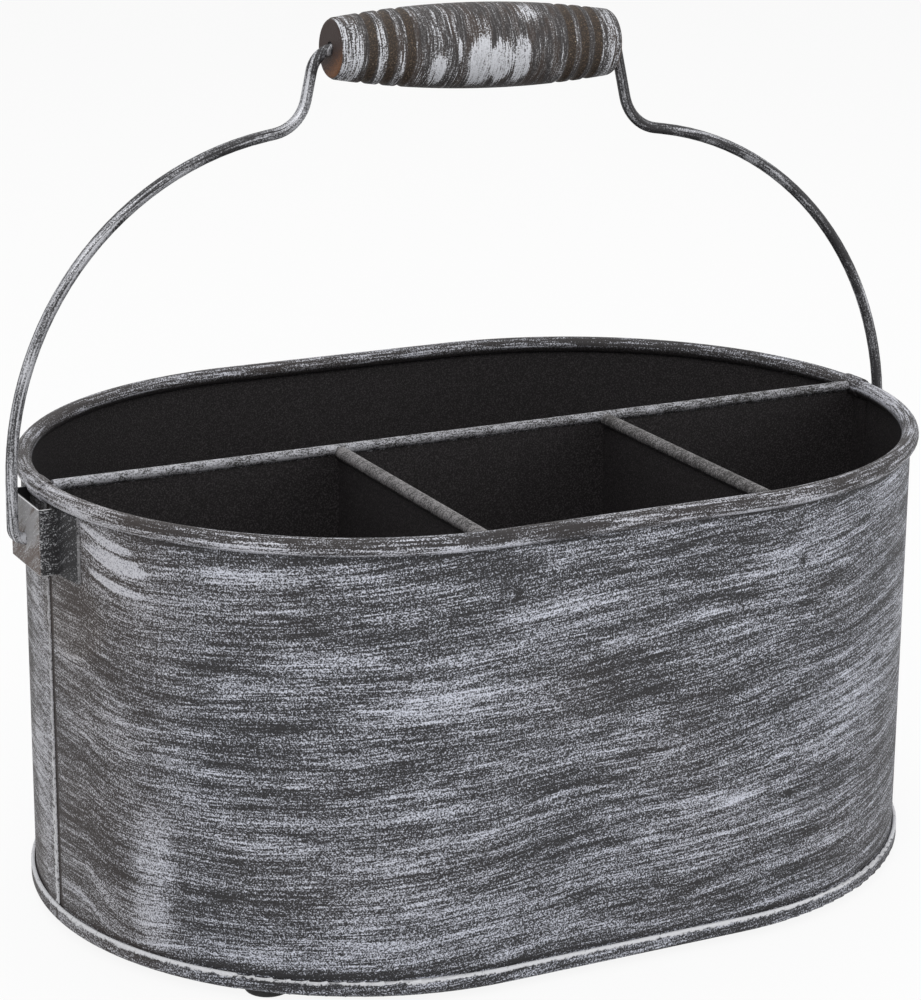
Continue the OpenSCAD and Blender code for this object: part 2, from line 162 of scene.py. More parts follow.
class ShaderTree:
    """The nodes of one material, or of the world."""

    def __init__(self, owner: bpy.types.Material | bpy.types.World) -> None:
        """Empty the owner's node tree.

        Args:
            owner: A material or a world.
        """
        owner.use_nodes = True
        self.owner = owner
        self.tree = owner.node_tree
        self.tree.nodes.clear()

    @classmethod
    def named(cls, name: str) -> "ShaderTree":
        """Start a new material of this name."""
        return cls(bpy.data.materials.new(name))

    def add(
        self,
        kind: str,
        settings: Mapping[str, Any] | None = None,
        values: Mapping[int | str, Any] | None = None,
        output: int | str = 0,
    ) -> Signal:
        """Add a node.

        Args:
            kind: The node's type.
            settings: Its properties, set before its sockets.
            values: What goes into its inputs: signals are linked, others are set.
            output: The output that is wanted.

        Returns:
            That output, or an empty signal where the node has none.
        """
        node = self.tree.nodes.new(kind)
        for name, setting in (settings or {}).items():
            setattr(node, name, setting)
        for key, value in (values or {}).items():
            socket = node.inputs[key]
            if isinstance(value, Signal):
                self.tree.links.new(value.socket, socket)
            elif socket.type == "RGBA" and len(value) == 3:
                socket.default_value = (*value, 1.0)
            else:
                socket.default_value = value
        return Signal(self, node.outputs[output] if len(node.outputs) else None)

    def place(self) -> Signal:
        """Return the place on the part as a vector, in millimetres."""
        coordinates = self.add("ShaderNodeTexCoord", output="Object")
        return self.vector("MULTIPLY", coordinates, (MM_PER_M,) * 3)

    def vector(self, operation: str, first: Any, second: Any, output: int | str = 0) -> Signal:
        """Add a Vector Math node.

        Args:
            operation: Name of the node's operation.
            first: A vector or a vector signal.
            second: Another.
            output: "Value" where the operation gives a number.

        Returns:
            The node's result.
        """
        return self.add("ShaderNodeVectorMath", {"operation": operation}, {0: first, 1: second}, output)

    def length(self, vector: Signal) -> Signal:
        """Return a vector's length."""
        return self.add("ShaderNodeVectorMath", {"operation": "LENGTH"}, {0: vector}, "Value")

    def split(self, vector: Signal) -> tuple[Signal, Signal, Signal]:
        """Split a vector.

        Args:
            vector: A vector signal.

        Returns:
            Its three components.
        """
        node = self.add("ShaderNodeSeparateXYZ", values={0: vector}).socket.node
        along, across, up = (Signal(self, node.outputs[axis.value]) for axis in Axis)
        return along, across, up

    def joined(self, along: Value, across: Value, up: Value) -> Signal:
        """Return the vector with these components."""
        return self.add("ShaderNodeCombineXYZ", values={0: along, 1: across, 2: up})

    def noise(self, vector: Signal, cell: Point, detail: float = 2.0, roughness: float = 0.5) -> Signal:
        """Add a noise texture.

        Args:
            vector: Where it is read, in millimetres.
            cell: Size of one cell of the noise along each axis, in millimetres.
            detail: Number of finer layers.
            roughness: How strong the finer layers are.

        Returns:
            The noise, about 0.5 on average.
        """
        factors = tuple(1.0 / size for size in cell)
        return self.add(
            "ShaderNodeTexNoise",
            {"noise_dimensions": "3D"},
            {
                "Vector": self.vector("MULTIPLY", vector, factors),
                "Scale": 1.0,
                "Detail": detail,
                "Roughness": roughness,
            },
        )

    def swing(self, vector: Signal, cell: Point, detail: float = 2.0, roughness: float = 0.5) -> Signal:
        """Return the same noise about nought."""
        return self.noise(vector, cell, detail, roughness) - MID_NOISE

    def turned(self, vector: Signal) -> Signal:
        """Return a vector turned off the axes, so that the cells of a noise follow no flat side."""
        return self.add("ShaderNodeMapping", values={"Vector": vector, "Rotation": GRAIN_TURN})

    def blend(self, share: Value, first: Colour | Signal, second: Colour | Signal) -> Signal:
        """Mix two colours.

        Args:
            share: How much of the second.
            first: A colour.
            second: Another.

        Returns:
            The mixed colour.
        """
        return self.add(
            "ShaderNodeMix",
            {"data_type": "RGBA", "clamp_factor": True},
            {0: share, 6: first, 7: second},
            2,
        )

    def bump(self, height: Signal, strength: float, depth: float) -> Signal:
        """Add a bump.

        Args:
            height: The relief, from 0 to 1.
            strength: How strongly it tells.
            depth: The height that 1 stands for, in millimetres.

        Returns:
            The bent normal.
        """
        return self.add(
            "ShaderNodeBump",
            values={"Strength": strength, "Distance": depth / MM_PER_M, "Height": height},
        )

    def coat(self, **values: Any) -> bpy.types.Material:
        """Close the material with one Principled shader.

        Args:
            values: The shader's inputs, with their spaces written as underscores.

        Returns:
            The finished material.
        """
        inputs = {name.replace("_", " "): value for name, value in values.items()}
        shader = self.add("ShaderNodeBsdfPrincipled", values=inputs)
        self.add("ShaderNodeOutputMaterial", values={"Surface": shader})
        return self.owner


@dataclass(frozen=True)
class Daub:
    """A place where the brush pressed harder, or softer where its weight is negative; some are painted
    light and shade.
    """

    centre: Point
    reach: Point
    weight: float
    core: float = 0.25

    def pressure(self, tree: ShaderTree, place: Signal) -> Signal:
        """Return the extra pressure that this daub gives at a place, full inside its core."""
        apart = tree.vector("SUBTRACT", place, self.centre)
        share = tree.length(tree.vector("DIVIDE", apart, self.reach))
        return share.fall(self.core, 1.0) * self.weight


def pressed(tree: ShaderTree, place: Signal, daubs: Sequence[Daub], pressure: Value = 0.0) -> Value:
    """Add daubs to a pressure.

    Args:
        tree: The material's tree.
        place: The place on the part, in millimetres.
        daubs: The daubs.
        pressure: What the brush gives without them.

    Returns:
        The pressure with all of them.
    """
    for daub in daubs:
        pressure = daub.pressure(tree, place) + pressure
    return pressure


@dataclass(frozen=True)
class DryBrush:
    """Pale paint dragged over a grained dark coat.

    The paint holds on the tops of the grain, and covers it where the brush pressed hardest. Each
    pattern is long along the drag, which is the first two components of a flow, and narrow across
    it, which is the third.
    """

    patch: tuple[float, float] = (95.0, 30.0)
    stroke: tuple[float, float] = (46.0, 3.0)
    bristle: tuple[float, float] = (15.0, 0.6)
    hair: tuple[float, float] = (9.0, 0.34)
    grain: float = 0.46
    grain_weight: float = 2.6
    hair_weight: float = 1.0
    patch_weight: float = 0.3
    stroke_weight: float = 0.5
    bristle_weight: float = 0.5
    layer_roughness: float = 0.55
    fine_roughness: float = 0.6
    load: float = 0.0
    press: float = 2.0
    catch: Span = (-0.2, 0.54)

    def pressure(self, tree: ShaderTree, flow: Signal) -> Signal:
        """Add up the patches, strokes and bristle lines.

        Args:
            tree: The material's tree.
            flow: The place, turned so that the third component runs across the strokes.

        Returns:
            The pressure of the brush, about its load on average.
        """
        total: Value = self.load
        layers = (
            (self.patch, self.patch_weight, 2.0),
            (self.stroke, self.stroke_weight, 3.0),
            (self.bristle, self.bristle_weight, 2.0),
        )
        for (long, wide), weight, detail in layers:
            layer = tree.swing(flow, (long, long, wide), detail, self.layer_roughness)
            total = layer * weight + total
        return total

    def grains(self, tree: ShaderTree, place: Signal) -> Signal:
        """Return the grain of the dark coat, from 0 to 1."""
        return tree.noise(tree.turned(place), (self.grain,) * 3, 2.0, self.fine_roughness)

    def tops(self, tree: ShaderTree, flow: Signal, grains: Signal) -> Signal:
        """Return how readily a place takes the paint: the grain, lined by single hairs of the brush."""
        long, wide = self.hair
        hairs = tree.swing(flow, (long, long, wide), 2.0, self.fine_roughness)
        return (grains - MID_NOISE) * self.grain_weight + hairs * self.hair_weight

    def caught(self, tops: Signal, pressure: Signal) -> Signal:
        """Return how far the paint covers a place, from 0 to 1."""
        return (tops + pressure * self.press).rise(*self.catch)


@dataclass(frozen=True)
class Lustre:
    """How a finish takes the light, bare and where pale paint covers it."""

    rough: float
    polish: float
    metal: float = 0.0
    sheen: float = 0.22
    strength: float = 0.35
    depth: float = 0.2

    def close(
        self, tree: ShaderTree, colour: Signal, covered: Signal, relief: Signal
    ) -> bpy.types.Material:
        """Close a material.

        Args:
            tree: The material's tree.
            colour: Its colour.
            covered: How far pale paint covers it, from 0 to 1.
            relief: The height of its grain and paint.

        Returns:
            The finished material.
        """
        return tree.coat(
            Base_Color=colour,
            Roughness=self.rough - covered * self.polish,
            Metallic=covered * self.metal if self.metal else 0.0,
            Specular_IOR_Level=self.sheen,
            Normal=tree.bump(relief, self.strength, self.depth),
        )


@dataclass(frozen=True)
class InsidePaint:
    """Near-black paint with a fine grain, as inside the tub."""

    dark: Colour = (0.0105, 0.0093, 0.0097)
    speck: Colour = (0.052, 0.047, 0.049)
    specks: Span = (0.42, 0.72)

    def colour(self, tree: ShaderTree, grains: Signal) -> Signal:
        """Return the paint's colour over a coat's grain."""
        return tree.blend(grains.rise(*self.specks), self.dark, self.speck)


@dataclass(frozen=True)
class TubSpot:
    """A place on the tub, and where it lies.

    The radius is the distance from the line between the centres of the two round ends. The side is
    the distance behind the middle at the right end, and in front of it at the left end.
    """

    place: Signal
    along: Signal
    across: Signal
    up: Signal
    radius: Signal
    side: Signal
    rim: Signal


@dataclass(frozen=True)
class TubForm:
    """Form of the tub: two half circles joined by straight sides, under a rolled rim."""

    half_run: float = 40.0
    wall_r: float = 102.3
    rim_z: float = 138.3
    rim_r: float = 2.7
    rim_start: Span = (135.3, 135.8)

    def spot(self, tree: ShaderTree) -> TubSpot:
        """Find where on the tub each place lies.

        Args:
            tree: The material's tree.

        Returns:
            The place and what is known of it.
        """
        place = tree.place()
        along, across, up = tree.split(place)
        over = (abs(along) - self.half_run).at_least(0.0)
        radius = (over * over + across * across) ** 0.5
        return TubSpot(
            place=place,
            along=along,
            across=across,
            up=up,
            radius=radius,
            side=across * along.sign(),
            rim=up.rise(*self.rim_start),
        )


@dataclass(frozen=True)
class WornEdges:
    """Edges of the tub's sheets whose paint is worn bright: the laps and the base seam."""

    ragged_cell: Point = (2.0, 2.0, 2.0)
    chip_cell: Point = (1.3, 1.3, 1.3)
    towards_base: Span = (10.0, 110.0)
    lap_width: float = 0.9
    low_width: float = 1.3
    lap_wear: float = 0.5
    low_wear: float = 0.4
    lap_ragged: float = 7.0
    lap_start: Span = (4.8, 5.2)
    lap_end: Span = (6.0, 6.2)
    lap_skin: Span = (102.65, 102.72)
    lap_top: Span = (134.8, 135.3)
    lap_foot: Span = (8.03, 8.33)
    lap_chips: Span = (0.32, 0.5)
    seam_ragged: float = 3.0
    seam_start: Span = (6.83, 7.33)
    seam_end: Span = (8.03, 8.05)
    seam_skin: Span = (102.85, 103.0)
    seam_chips: Span = (0.2, 0.42)

    def worn(self, tree: ShaderTree, spot: TubSpot) -> Signal:
        """Find the worn edges.

        Args:
            tree: The material's tree.
            spot: The place on the tub.

        Returns:
            1 on the laps' edges and the base seam's upper edge, 0 elsewhere.
        """
        ragged = tree.swing(spot.place, self.ragged_cell, 3.0, 0.7)
        chips = tree.noise(spot.place, self.chip_cell, 2.0, 0.6)
        low = spot.up.fall(*self.towards_base)
        width = low * self.low_width + self.lap_width
        lap = (spot.side + ragged * self.lap_ragged + width).rise(*self.lap_start)
        lap = lap * spot.side.fall(*self.lap_end) * spot.radius.rise(*self.lap_skin)
        lap = lap * spot.up.fall(*self.lap_top) * spot.up.rise(*self.lap_foot)
        lap = lap * (low * self.low_wear + self.lap_wear) * chips.rise(*self.lap_chips)
        seam = (spot.up + ragged * self.seam_ragged).rise(*self.seam_start)
        seam = seam * spot.radius.rise(*self.seam_skin) * spot.up.fall(*self.seam_end)
        return lap.at_least(seam * chips.rise(*self.seam_chips))


@dataclass(frozen=True)
class TubPaint:
    """Charcoal paint brushed with silver round the outside, and left near black inside."""

    form: TubForm = TubForm()
    brush: DryBrush = DryBrush(load=-0.043)
    edges: WornEdges = WornEdges()
    inside: InsidePaint = InsidePaint()
    lustre: Lustre = Lustre(rough=0.62, polish=0.2, metal=0.25, depth=0.25)
    charcoal: Colour = (0.027, 0.0265, 0.0285)
    umber: Colour = (0.047, 0.0385, 0.0355)
    film: Colour = (0.140, 0.146, 0.176)
    silver: Colour = (0.62, 0.64, 0.72)
    tan: Colour = (0.48, 0.462, 0.463)
    bright: Colour = (0.66, 0.665, 0.69)
    film_share: float = 0.7
    film_pressure: Span = (0.04, 0.24)
    tan_share: float = 0.8
    fullest: float = 0.2
    tilt: float = 0.08
    sway_cell: Point = (70.0, 70.0, 45.0)
    sway_reach: float = 10.0
    hook: float = 0.008
    hook_from: float = -50.0
    hook_most: float = 26.0
    hook_end: Span = (-128.0, -112.0)
    skin: Span = (102.2, 102.4)
    rim_inner: Span = (101.3, 102.3)
    rim_under: Span = (137.4, 138.6)
    rim_flank: Span = (-1.0, 2.0)
    flank_weight: float = 0.14
    streak_cell: Point = (16.0, 16.0, 0.9)
    streak_middle: float = 0.56
    streak_weight: float = 0.9
    # Painted shade: fewer silver strokes just above the base seam, a little on the seam band, and just
    # under the rim roll
    shade_above_seam: Span = (8.6, 10.4)
    base_seam: Span = (8.03, 8.13)
    shade_on_seam: float = 0.3
    shade_under_rim: Span = (133.4, 134.9)
    shade_weight: float = 0.12
    left_end: Span = (-142.5, -116.0)
    right_end: Span = (116.0, 142.5)
    right_share: float = 0.3
    rim_share: float = 0.6
    end_weight: float = 0.02
    # Painted shadow: a dark band beside each lap's edge
    lap_shadow_start: Span = (5.0, 5.2)
    lap_shadow_end: Span = (5.8, 7.2)
    lap_shadow_weight: float = 0.3
    dent_weight: float = 0.15
    end_warmth: float = 0.65
    rim_warmth: float = 0.4
    sway_warmth: float = 0.8
    grain_relief: float = 0.7
    paint_relief: float = 0.3
    sweeps: tuple[Daub, ...] = (
        Daub((-136.0, -37.0, 129.3), (12.0, 14.0, 2.3), 0.4, 0.35),
        Daub((-135.0, -39.5, 124.2), (13.0, 18.0, 3.3), 0.42, 0.4),
        Daub((-135.0, -39.0, 117.4), (12.0, 16.0, 1.9), 0.4, 0.35),
    )
    daubs: tuple[Daub, ...] = (
        Daub((-110.0, -74.0, 128.0), (26.0, 22.0, 5.0), 0.12),
        Daub((-66.0, -100.0, 88.5), (30.0, 20.0, 10.0), 0.11),
        # Painted highlight: a lamp's reflection as a tall pale band low on the curved left end
        Daub((-129.0, -50.0, 32.0), (9.0, 13.0, 30.0), 0.13, 0.4),
        Daub((-24.0, -102.0, 112.0), (44.0, 20.0, 8.0), 0.05),
        Daub((18.0, -102.0, 46.0), (46.0, 20.0, 9.0), 0.07),
        Daub((84.0, -92.0, 60.0), (20.0, 20.0, 30.0), 0.05),
        Daub((-3.0, -102.0, 88.0), (34.0, 20.0, 13.0), -0.09),
        Daub((-90.0, -88.0, 115.0), (34.0, 26.0, 5.0), -0.05),
        Daub((-96.0, -85.0, 104.5), (34.0, 26.0, 5.0), 0.08, 0.4),
        Daub((-111.0, -74.0, 77.0), (28.0, 28.0, 12.0), -0.07, 0.4),
        Daub((-58.0, -101.0, 130.5), (36.0, 20.0, 5.0), -0.11, 0.4),
        Daub((-28.0, -102.0, 101.0), (24.0, 20.0, 6.0), -0.05),
        Daub((-98.0, -84.0, 30.0), (20.0, 26.0, 16.0), -0.03),
        Daub((-66.0, -97.0, 22.0), (46.0, 30.0, 20.0), 0.075, 0.4),
        # Painted shade below the left ear wing, as fewer silver strokes
        Daub((-139.0, -21.0, 110.0), (10.0, 16.0, 6.0), -0.12),
        Daub((-142.0, 6.0, 66.0), (14.0, 13.0, 70.0), 0.11, 0.6),
        Daub((-141.0, -18.0, 138.0), (30.0, 50.0, 7.0), 0.18, 0.4),
        Daub((138.0, -32.0, 138.0), (24.0, 34.0, 7.0), 0.14, 0.4),
        Daub((-112.0, -75.0, 138.0), (26.0, 26.0, 5.0), 0.13, 0.4),
        # Painted shade: fewer silver strokes on the inner face of the back right rim
        Daub((100.0, 80.0, 138.0), (36.0, 36.0, 5.0), -0.06, 0.4),
    )
    # Browns the painted shade below the left ear wing
    ear_shade_warmth: Daub = Daub((-139.5, -17.0, 104.0), (12.0, 22.0, 16.0), 0.6, 0.4)
    dents: tuple[Daub, ...] = (
        Daub((-37.8, -102.5, 121.0), (2.0, 2.0, 2.8), 1.0),
        Daub((55.8, -101.3, 44.3), (2.0, 2.0, 2.8), 1.0),
        Daub((57.6, -101.0, 117.9), (2.0, 2.0, 2.8), 1.0),
    )

    def make(self) -> bpy.types.Material:
        """Build the paint.

        Returns:
            The material for the walls and the base.
        """
        tree = ShaderTree.named("tub_brushed_paint")
        spot = self.form.spot(tree)
        sway = tree.swing(spot.place, self.sway_cell, 1.0)
        swept = spot.up - self.hooked(spot)
        flow = self.flow(tree, spot, swept, sway)
        ends = self.ends(spot)
        dent = pressed(tree, spot.place, self.dents)
        pressure = self.pressure(tree, spot, swept, flow)
        # Painted shade above the base seam and under the rim, as fewer silver strokes
        pressure = pressure - self.painted_shade(spot) * self.shade_weight - dent * self.dent_weight
        # Painted shadow beside the laps' edges, as fewer silver strokes
        pressure = pressure - ends * self.end_weight - self.lap_shadow(spot) * self.lap_shadow_weight

        grains = self.brush.grains(tree, spot.place)
        tops = self.brush.tops(tree, flow, grains)
        caught = self.brush.caught(tops, pressure.at_most(self.fullest))
        warmth = ends * self.end_warmth + spot.rim * self.rim_warmth + sway * self.sway_warmth
        # The warmth also browns the painted shade below the left ear wing
        warmth = (warmth + self.ear_shade_warmth.pressure(tree, spot.place)).at_most(1.0).at_least(0.0)
        dark = tree.blend(warmth, self.charcoal, self.umber)
        ground = tree.blend(pressure.rise(*self.film_pressure) * self.film_share, dark, self.film)
        strokes = tree.blend(warmth * self.tan_share, self.silver, self.tan)
        painted = tree.blend(caught, ground, strokes)
        painted = tree.blend(self.edges.worn(tree, spot), painted, self.bright)

        outside = self.outside(spot)
        covered = caught * outside
        colour = tree.blend(outside, self.inside.colour(tree, grains), painted)
        relief = grains * self.grain_relief + covered * self.paint_relief - dent
        return self.lustre.close(tree, colour, covered, relief)

    def flow(self, tree: ShaderTree, spot: TubSpot, swept: Signal, sway: Signal) -> Signal:
        """Follow the brush: nearly level round the walls, and round the rim's roll.

        Args:
            tree: The material's tree.
            spot: The place on the tub.
            swept: Its height, less the turn of the strokes beside the left ear.
            sway: Slow noise that the strokes wander by.

        Returns:
            The flow of the strokes, whose third component runs across them.
        """
        slant = spot.along * spot.across.sign() * self.tilt
        level = swept + spot.radius + slant + sway * self.sway_reach
        out, above = spot.radius - self.form.wall_r, spot.up - self.form.rim_z
        rolled = above.angle_from(out) * self.form.rim_r
        return tree.joined(spot.along, spot.across, level + spot.rim * (rolled - level))

    def pressure(self, tree: ShaderTree, spot: TubSpot, swept: Signal, flow: Signal) -> Signal:
        """Add up the brush, the rim's streaks, the daubs with their painted highlight and shade, and the
        sweeps.

        Args:
            tree: The material's tree.
            spot: The place on the tub.
            swept: Its height, less the turn of the strokes beside the left ear.
            flow: The flow of the strokes.

        Returns:
            The pressure of the brush.
        """
        flank = spot.rim * (self.form.rim_z - spot.up).rise(*self.rim_flank)
        streaks = tree.noise(flow, self.streak_cell, 2.0, 0.6) - self.streak_middle
        on_rim = flank * self.flank_weight + spot.rim * streaks * self.streak_weight
        pressure = self.brush.pressure(tree, flow) + on_rim
        pressure = pressed(tree, spot.place, self.daubs, pressure)
        return pressed(tree, tree.joined(spot.along, spot.across, swept), self.sweeps, pressure)

    def hooked(self, spot: TubSpot) -> Signal:
        """Return how far the strokes beside the left ear turn up towards it."""
        near_ear = (spot.across - self.hook_from).at_least(0.0).at_most(self.hook_most)
        return near_ear * near_ear * self.hook * spot.along.fall(*self.hook_end)

    def outside(self, spot: TubSpot) -> Signal:
        """Return 1 where the tub is brushed and 0 inside it, also under the rim's roll."""
        under = spot.radius.fall(*self.rim_inner) * spot.up.fall(*self.rim_under)
        return spot.radius.rise(*self.skin).at_least(spot.rim * (1.0 - under))

    def painted_shade(self, spot: TubSpot) -> Signal:
        """Return the painted shade above the base seam and under the rim, from 0 to 1."""
        low = spot.up.fall(*self.shade_above_seam) * (spot.up.rise(*self.base_seam) + self.shade_on_seam)
        return low + spot.up.rise(*self.shade_under_rim) * (1.0 - spot.rim)

    def ends(self, spot: TubSpot) -> Signal:
        """Return how brown a round end is, most at the left end and least on the rim."""
        right = spot.along.rise(*self.right_end) * self.right_share
        return (spot.along.fall(*self.left_end) + right) * (1.0 - spot.rim * self.rim_share)

    def lap_shadow(self, spot: TubSpot) -> Signal:
        """Return the painted shadow beside a lap's edge, from 0 to 1."""
        beside_lap = spot.side.rise(*self.lap_shadow_start) * spot.side.fall(*self.lap_shadow_end)
        return beside_lap * (1.0 - spot.rim)


class Strokes(Enum):
    """Ways in which the brush went at a divider's bead."""

    OVER_BEAD = "over"
    LENGTHWISE = "lengthwise"


@dataclass(frozen=True)
class DividerPaint:
    """The tub's inside paint, with the rolled top edge brushed from brown grey to silver."""

    name: str
    paleness: float
    load: float
    strokes: Strokes = Strokes.OVER_BEAD
    brush: DryBrush = DryBrush(
        patch=(12.0, 12.0), stroke=(6.0, 2.0), bristle=(4.0, 0.6), hair=(3.0, 0.36), catch=(-0.3, 0.5)
    )
    inside: InsidePaint = InsidePaint()
    lustre: Lustre = Lustre(rough=0.6, polish=0.18, metal=0.2)
    bead: Span = (137.1, 137.5)
    bead_ragged: float = 0.8
    fade: float = 0.0005
    charcoal: Colour = (0.034, 0.032, 0.031)
    silver: Colour = (0.45, 0.455, 0.49)
    umber: Colour = (0.205, 0.194, 0.194)

    def make(self) -> bpy.types.Material:
        """Build the paint.

        Returns:
            The material for one divider.
        """
        tree = ShaderTree.named(self.name)
        place = tree.place()
        along, across, up = tree.split(place)
        if self.strokes is Strokes.LENGTHWISE:
            flow = tree.joined(along, along, up + across)
        else:
            flow = tree.joined(up, along - across, along + across)
        grains = self.brush.grains(tree, place)
        pressure = self.brush.pressure(tree, flow) + self.load - along * self.fade
        tops = self.brush.tops(tree, flow, grains)
        bead = (up + tops * self.bead_ragged).rise(*self.bead)
        caught = self.brush.caught(tops, pressure)
        brushed = tree.blend(caught, self.charcoal, self.pale())
        colour = tree.blend(bead, self.inside.colour(tree, grains), brushed)
        return self.lustre.close(tree, colour, bead * caught, grains)

    def pale(self) -> Colour:
        """Return the colour of the strokes, between brown grey and silver."""
        red, green, blue = (
            brown + (light - brown) * self.paleness for brown, light in zip(self.umber, self.silver)
        )
        return red, green, blue


@dataclass(frozen=True)
class EarPaint:
    """Brushed silver on the ears' faces, dark with specks at their sides, bright at their edges.

    An ear's places are measured outwards along the tub, and aside from the middle of its face.
    """

    brush: DryBrush = DryBrush(
        patch=(20.0, 9.0),
        stroke=(10.0, 1.6),
        bristle=(6.0, 0.6),
        hair=(4.0, 0.34),
        load=-0.09,
        press=1.6,
        catch=(-0.1, 0.5),
    )
    lustre: Lustre = Lustre(rough=0.55, polish=0.15, metal=0.3)
    middle_up: float = 125.55
    side: float = 13.0
    drop: float = 0.7
    front: Span = (147.425, 147.725)
    behind_front: Span = (147.425, 147.525)
    between_sides: Span = (12.5, 12.6)
    hidden_weight: float = 0.6
    towards_front: Span = (141.925, 147.425)
    towards_side: Span = (7.0, 13.0)
    bend_weight: float = 0.04
    wing_root: Span = (13.5, 14.0)
    wing_weight: float = 0.06
    cover: float = 0.85
    ragged_cell: Point = (1.8, 1.8, 1.8)
    bend: Span = (160.025, 160.525)
    bend_ragged: float = 1.8
    bend_wear: float = 0.8
    cut_edge: Span = (9.86, 9.96)
    cut_reach: Span = (143.425, 144.425)
    wing_tip: Span = (24.4, 24.5)
    tip_ragged: float = 0.8
    tip_wear: float = 0.3
    wear: float = 0.85
    cloud_cell: Point = (11.0, 11.0, 3.5)
    cloud_rise: float = 0.012
    clouds: Span = (0.38, 0.62)
    paint_relief: float = 0.5
    charcoal: Colour = (0.017, 0.0166, 0.018)
    umber: Colour = (0.110, 0.084, 0.073)
    grey: Colour = (0.27, 0.265, 0.27)
    silver: Colour = (0.50, 0.505, 0.53)
    bright: Colour = (0.76, 0.76, 0.78)

    def make(self) -> bpy.types.Material:
        """Build the paint.

        Returns:
            The material for both ears.
        """
        tree = ShaderTree.named("ear_brushed_paint")
        place = tree.place()
        along, across, up = tree.split(place)
        out, aside, above = abs(along), abs(across), up - self.middle_up
        flow = tree.joined(along, across, up + across * self.drop)
        grains = self.brush.grains(tree, place)
        hidden = out.fall(*self.behind_front) * aside.fall(*self.between_sides)
        near_bend = out.rise(*self.towards_front) * aside.rise(*self.towards_side)
        pressure = self.brush.pressure(tree, flow) + near_bend * self.bend_weight
        pressure = pressure - hidden * self.hidden_weight
        pressure = pressure - aside.rise(*self.wing_root) * self.wing_weight
        caught = self.brush.caught(self.brush.tops(tree, flow, grains), pressure) * self.cover

        ragged = tree.swing(place, self.ragged_cell, 3.0, 0.7)
        corner = out + aside.at_most(self.side) + ragged * self.bend_ragged
        bend = corner.rise(*self.bend) * self.bend_wear
        cuts = abs(above).rise(*self.cut_edge) * out.rise(*self.cut_reach)
        tips = (aside + ragged * self.tip_ragged).rise(*self.wing_tip) * self.tip_wear
        worn = bend.at_least(cuts).at_least(tips) * (1.0 - hidden) * self.wear

        clouds = tree.noise(flow, self.cloud_cell, 3.0, 0.6) + above * self.cloud_rise
        face_paint = tree.blend(clouds.rise(*self.clouds), self.umber, self.grey)
        ground = tree.blend(out.rise(*self.front), self.charcoal, face_paint)
        brushed = tree.blend(caught, ground, self.silver)
        colour = tree.blend(worn, brushed, self.bright)
        return self.lustre.close(tree, colour, caught, grains + caught * self.paint_relief)


@dataclass(frozen=True)
class WirePaint:
    """Dark grey paint on the bail, with silver strokes along the wire.

    The bail's two sides differ: what is uneven is taken off on the left and added on the right, or
    the other way round where it is negative.
    """

    brush: DryBrush = DryBrush(
        patch=(40.0, 6.0),
        stroke=(24.0, 1.3),
        bristle=(14.0, 0.6),
        grain_weight=1.2,
        load=-0.01,
        press=2.2,
        catch=(-0.15, 0.42),
    )
    lustre: Lustre = Lustre(rough=0.52, polish=0.15, metal=0.35, strength=0.3, depth=0.15)
    pivot_up: float = 123.7
    lean: float = math.radians(4.7)
    skew: float = math.radians(2.0)
    leg_rise: float = 11.5
    arch_x: float = 53.24
    arch_r: float = 98.19
    arch_uneven: float = 1.655
    shoulder_x: float = 67.314
    shoulder_up: float = 110.184
    shoulder_r: float = 12.9
    shoulder_uneven: tuple[float, float] = (-1.869, -1.218)
    shoulder_start: Span = (-1.0, 1.0)
    neck_slant: float = math.radians(12.3)
    sides_apart: float = 50.0
    round_wire: float = 1.3
    fade: float = 0.0005
    paint_relief: float = 0.4
    charcoal: Colour = (0.030, 0.029, 0.031)
    silver: Colour = (0.52, 0.525, 0.555)
    daubs: tuple[Daub, ...] = (
        Daub((-95.0, 8.0, 215.0), (46.0, 40.0, 46.0), -0.06, 0.4),
        Daub((-56.0, 10.0, 245.0), (14.0, 14.0, 13.0), 0.13, 0.4),
    )

    def make(self) -> bpy.types.Material:
        """Build the paint.

        Returns:
            The material for the bail.
        """
        tree = ShaderTree.named("bail_brushed_paint")
        place = tree.place()
        flow = self.flow(tree, place)
        grains = self.brush.grains(tree, place)
        along, _, _ = tree.split(place)
        pressure = self.brush.pressure(tree, flow) - along * self.fade
        pressure = pressed(tree, place, self.daubs, pressure)
        caught = self.brush.caught(self.brush.tops(tree, flow, grains), pressure)
        colour = tree.blend(caught, self.charcoal, self.silver)
        return self.lustre.close(tree, colour, caught, grains + caught * self.paint_relief)

    def flow(self, tree: ShaderTree, place: Signal) -> Signal:
        """Follow the wire: round the two arches, round the shoulders and up the necks.

        Args:
            tree: The material's tree.
            place: The place on the part, in millimetres.

        Returns:
            The flow of the strokes, whose third component runs across the wire.
        """
        along, across, up = tree.split(place)
        above = up - self.pivot_up
        raised = above * math.cos(self.lean) + across * math.sin(self.lean)
        off_plane = across * math.cos(self.lean) - above * math.sin(self.lean)
        aside = along * math.cos(self.skew) - raised * math.sin(self.skew)
        height = along * math.sin(self.skew) + raised * math.cos(self.skew) - self.leg_rise
        side = aside.sign()
        out = abs(aside) - (side * self.arch_uneven + self.arch_x)
        spoke = (out * out + height * height) ** 0.5 + side * self.arch_uneven
        turned = height.angle_from(out) * self.arch_r
        bent = abs(aside) - (side * self.shoulder_uneven[0] + self.shoulder_x)
        risen = height - (side * self.shoulder_uneven[1] + self.shoulder_up)
        beside = bent * math.cos(self.neck_slant) + risen * math.sin(self.neck_slant)
        under = risen * math.cos(self.neck_slant) - bent * math.sin(self.neck_slant)
        under = under.at_most(0.0)
        to_shoulder = (beside * beside + under * under) ** 0.5
        on_neck = bent.fall(*self.shoulder_start)
        wide = spoke + on_neck * (self.arch_r + self.shoulder_r - to_shoulder - spoke)
        return tree.joined(turned, side * self.sides_apart, wide + off_plane * self.round_wire)


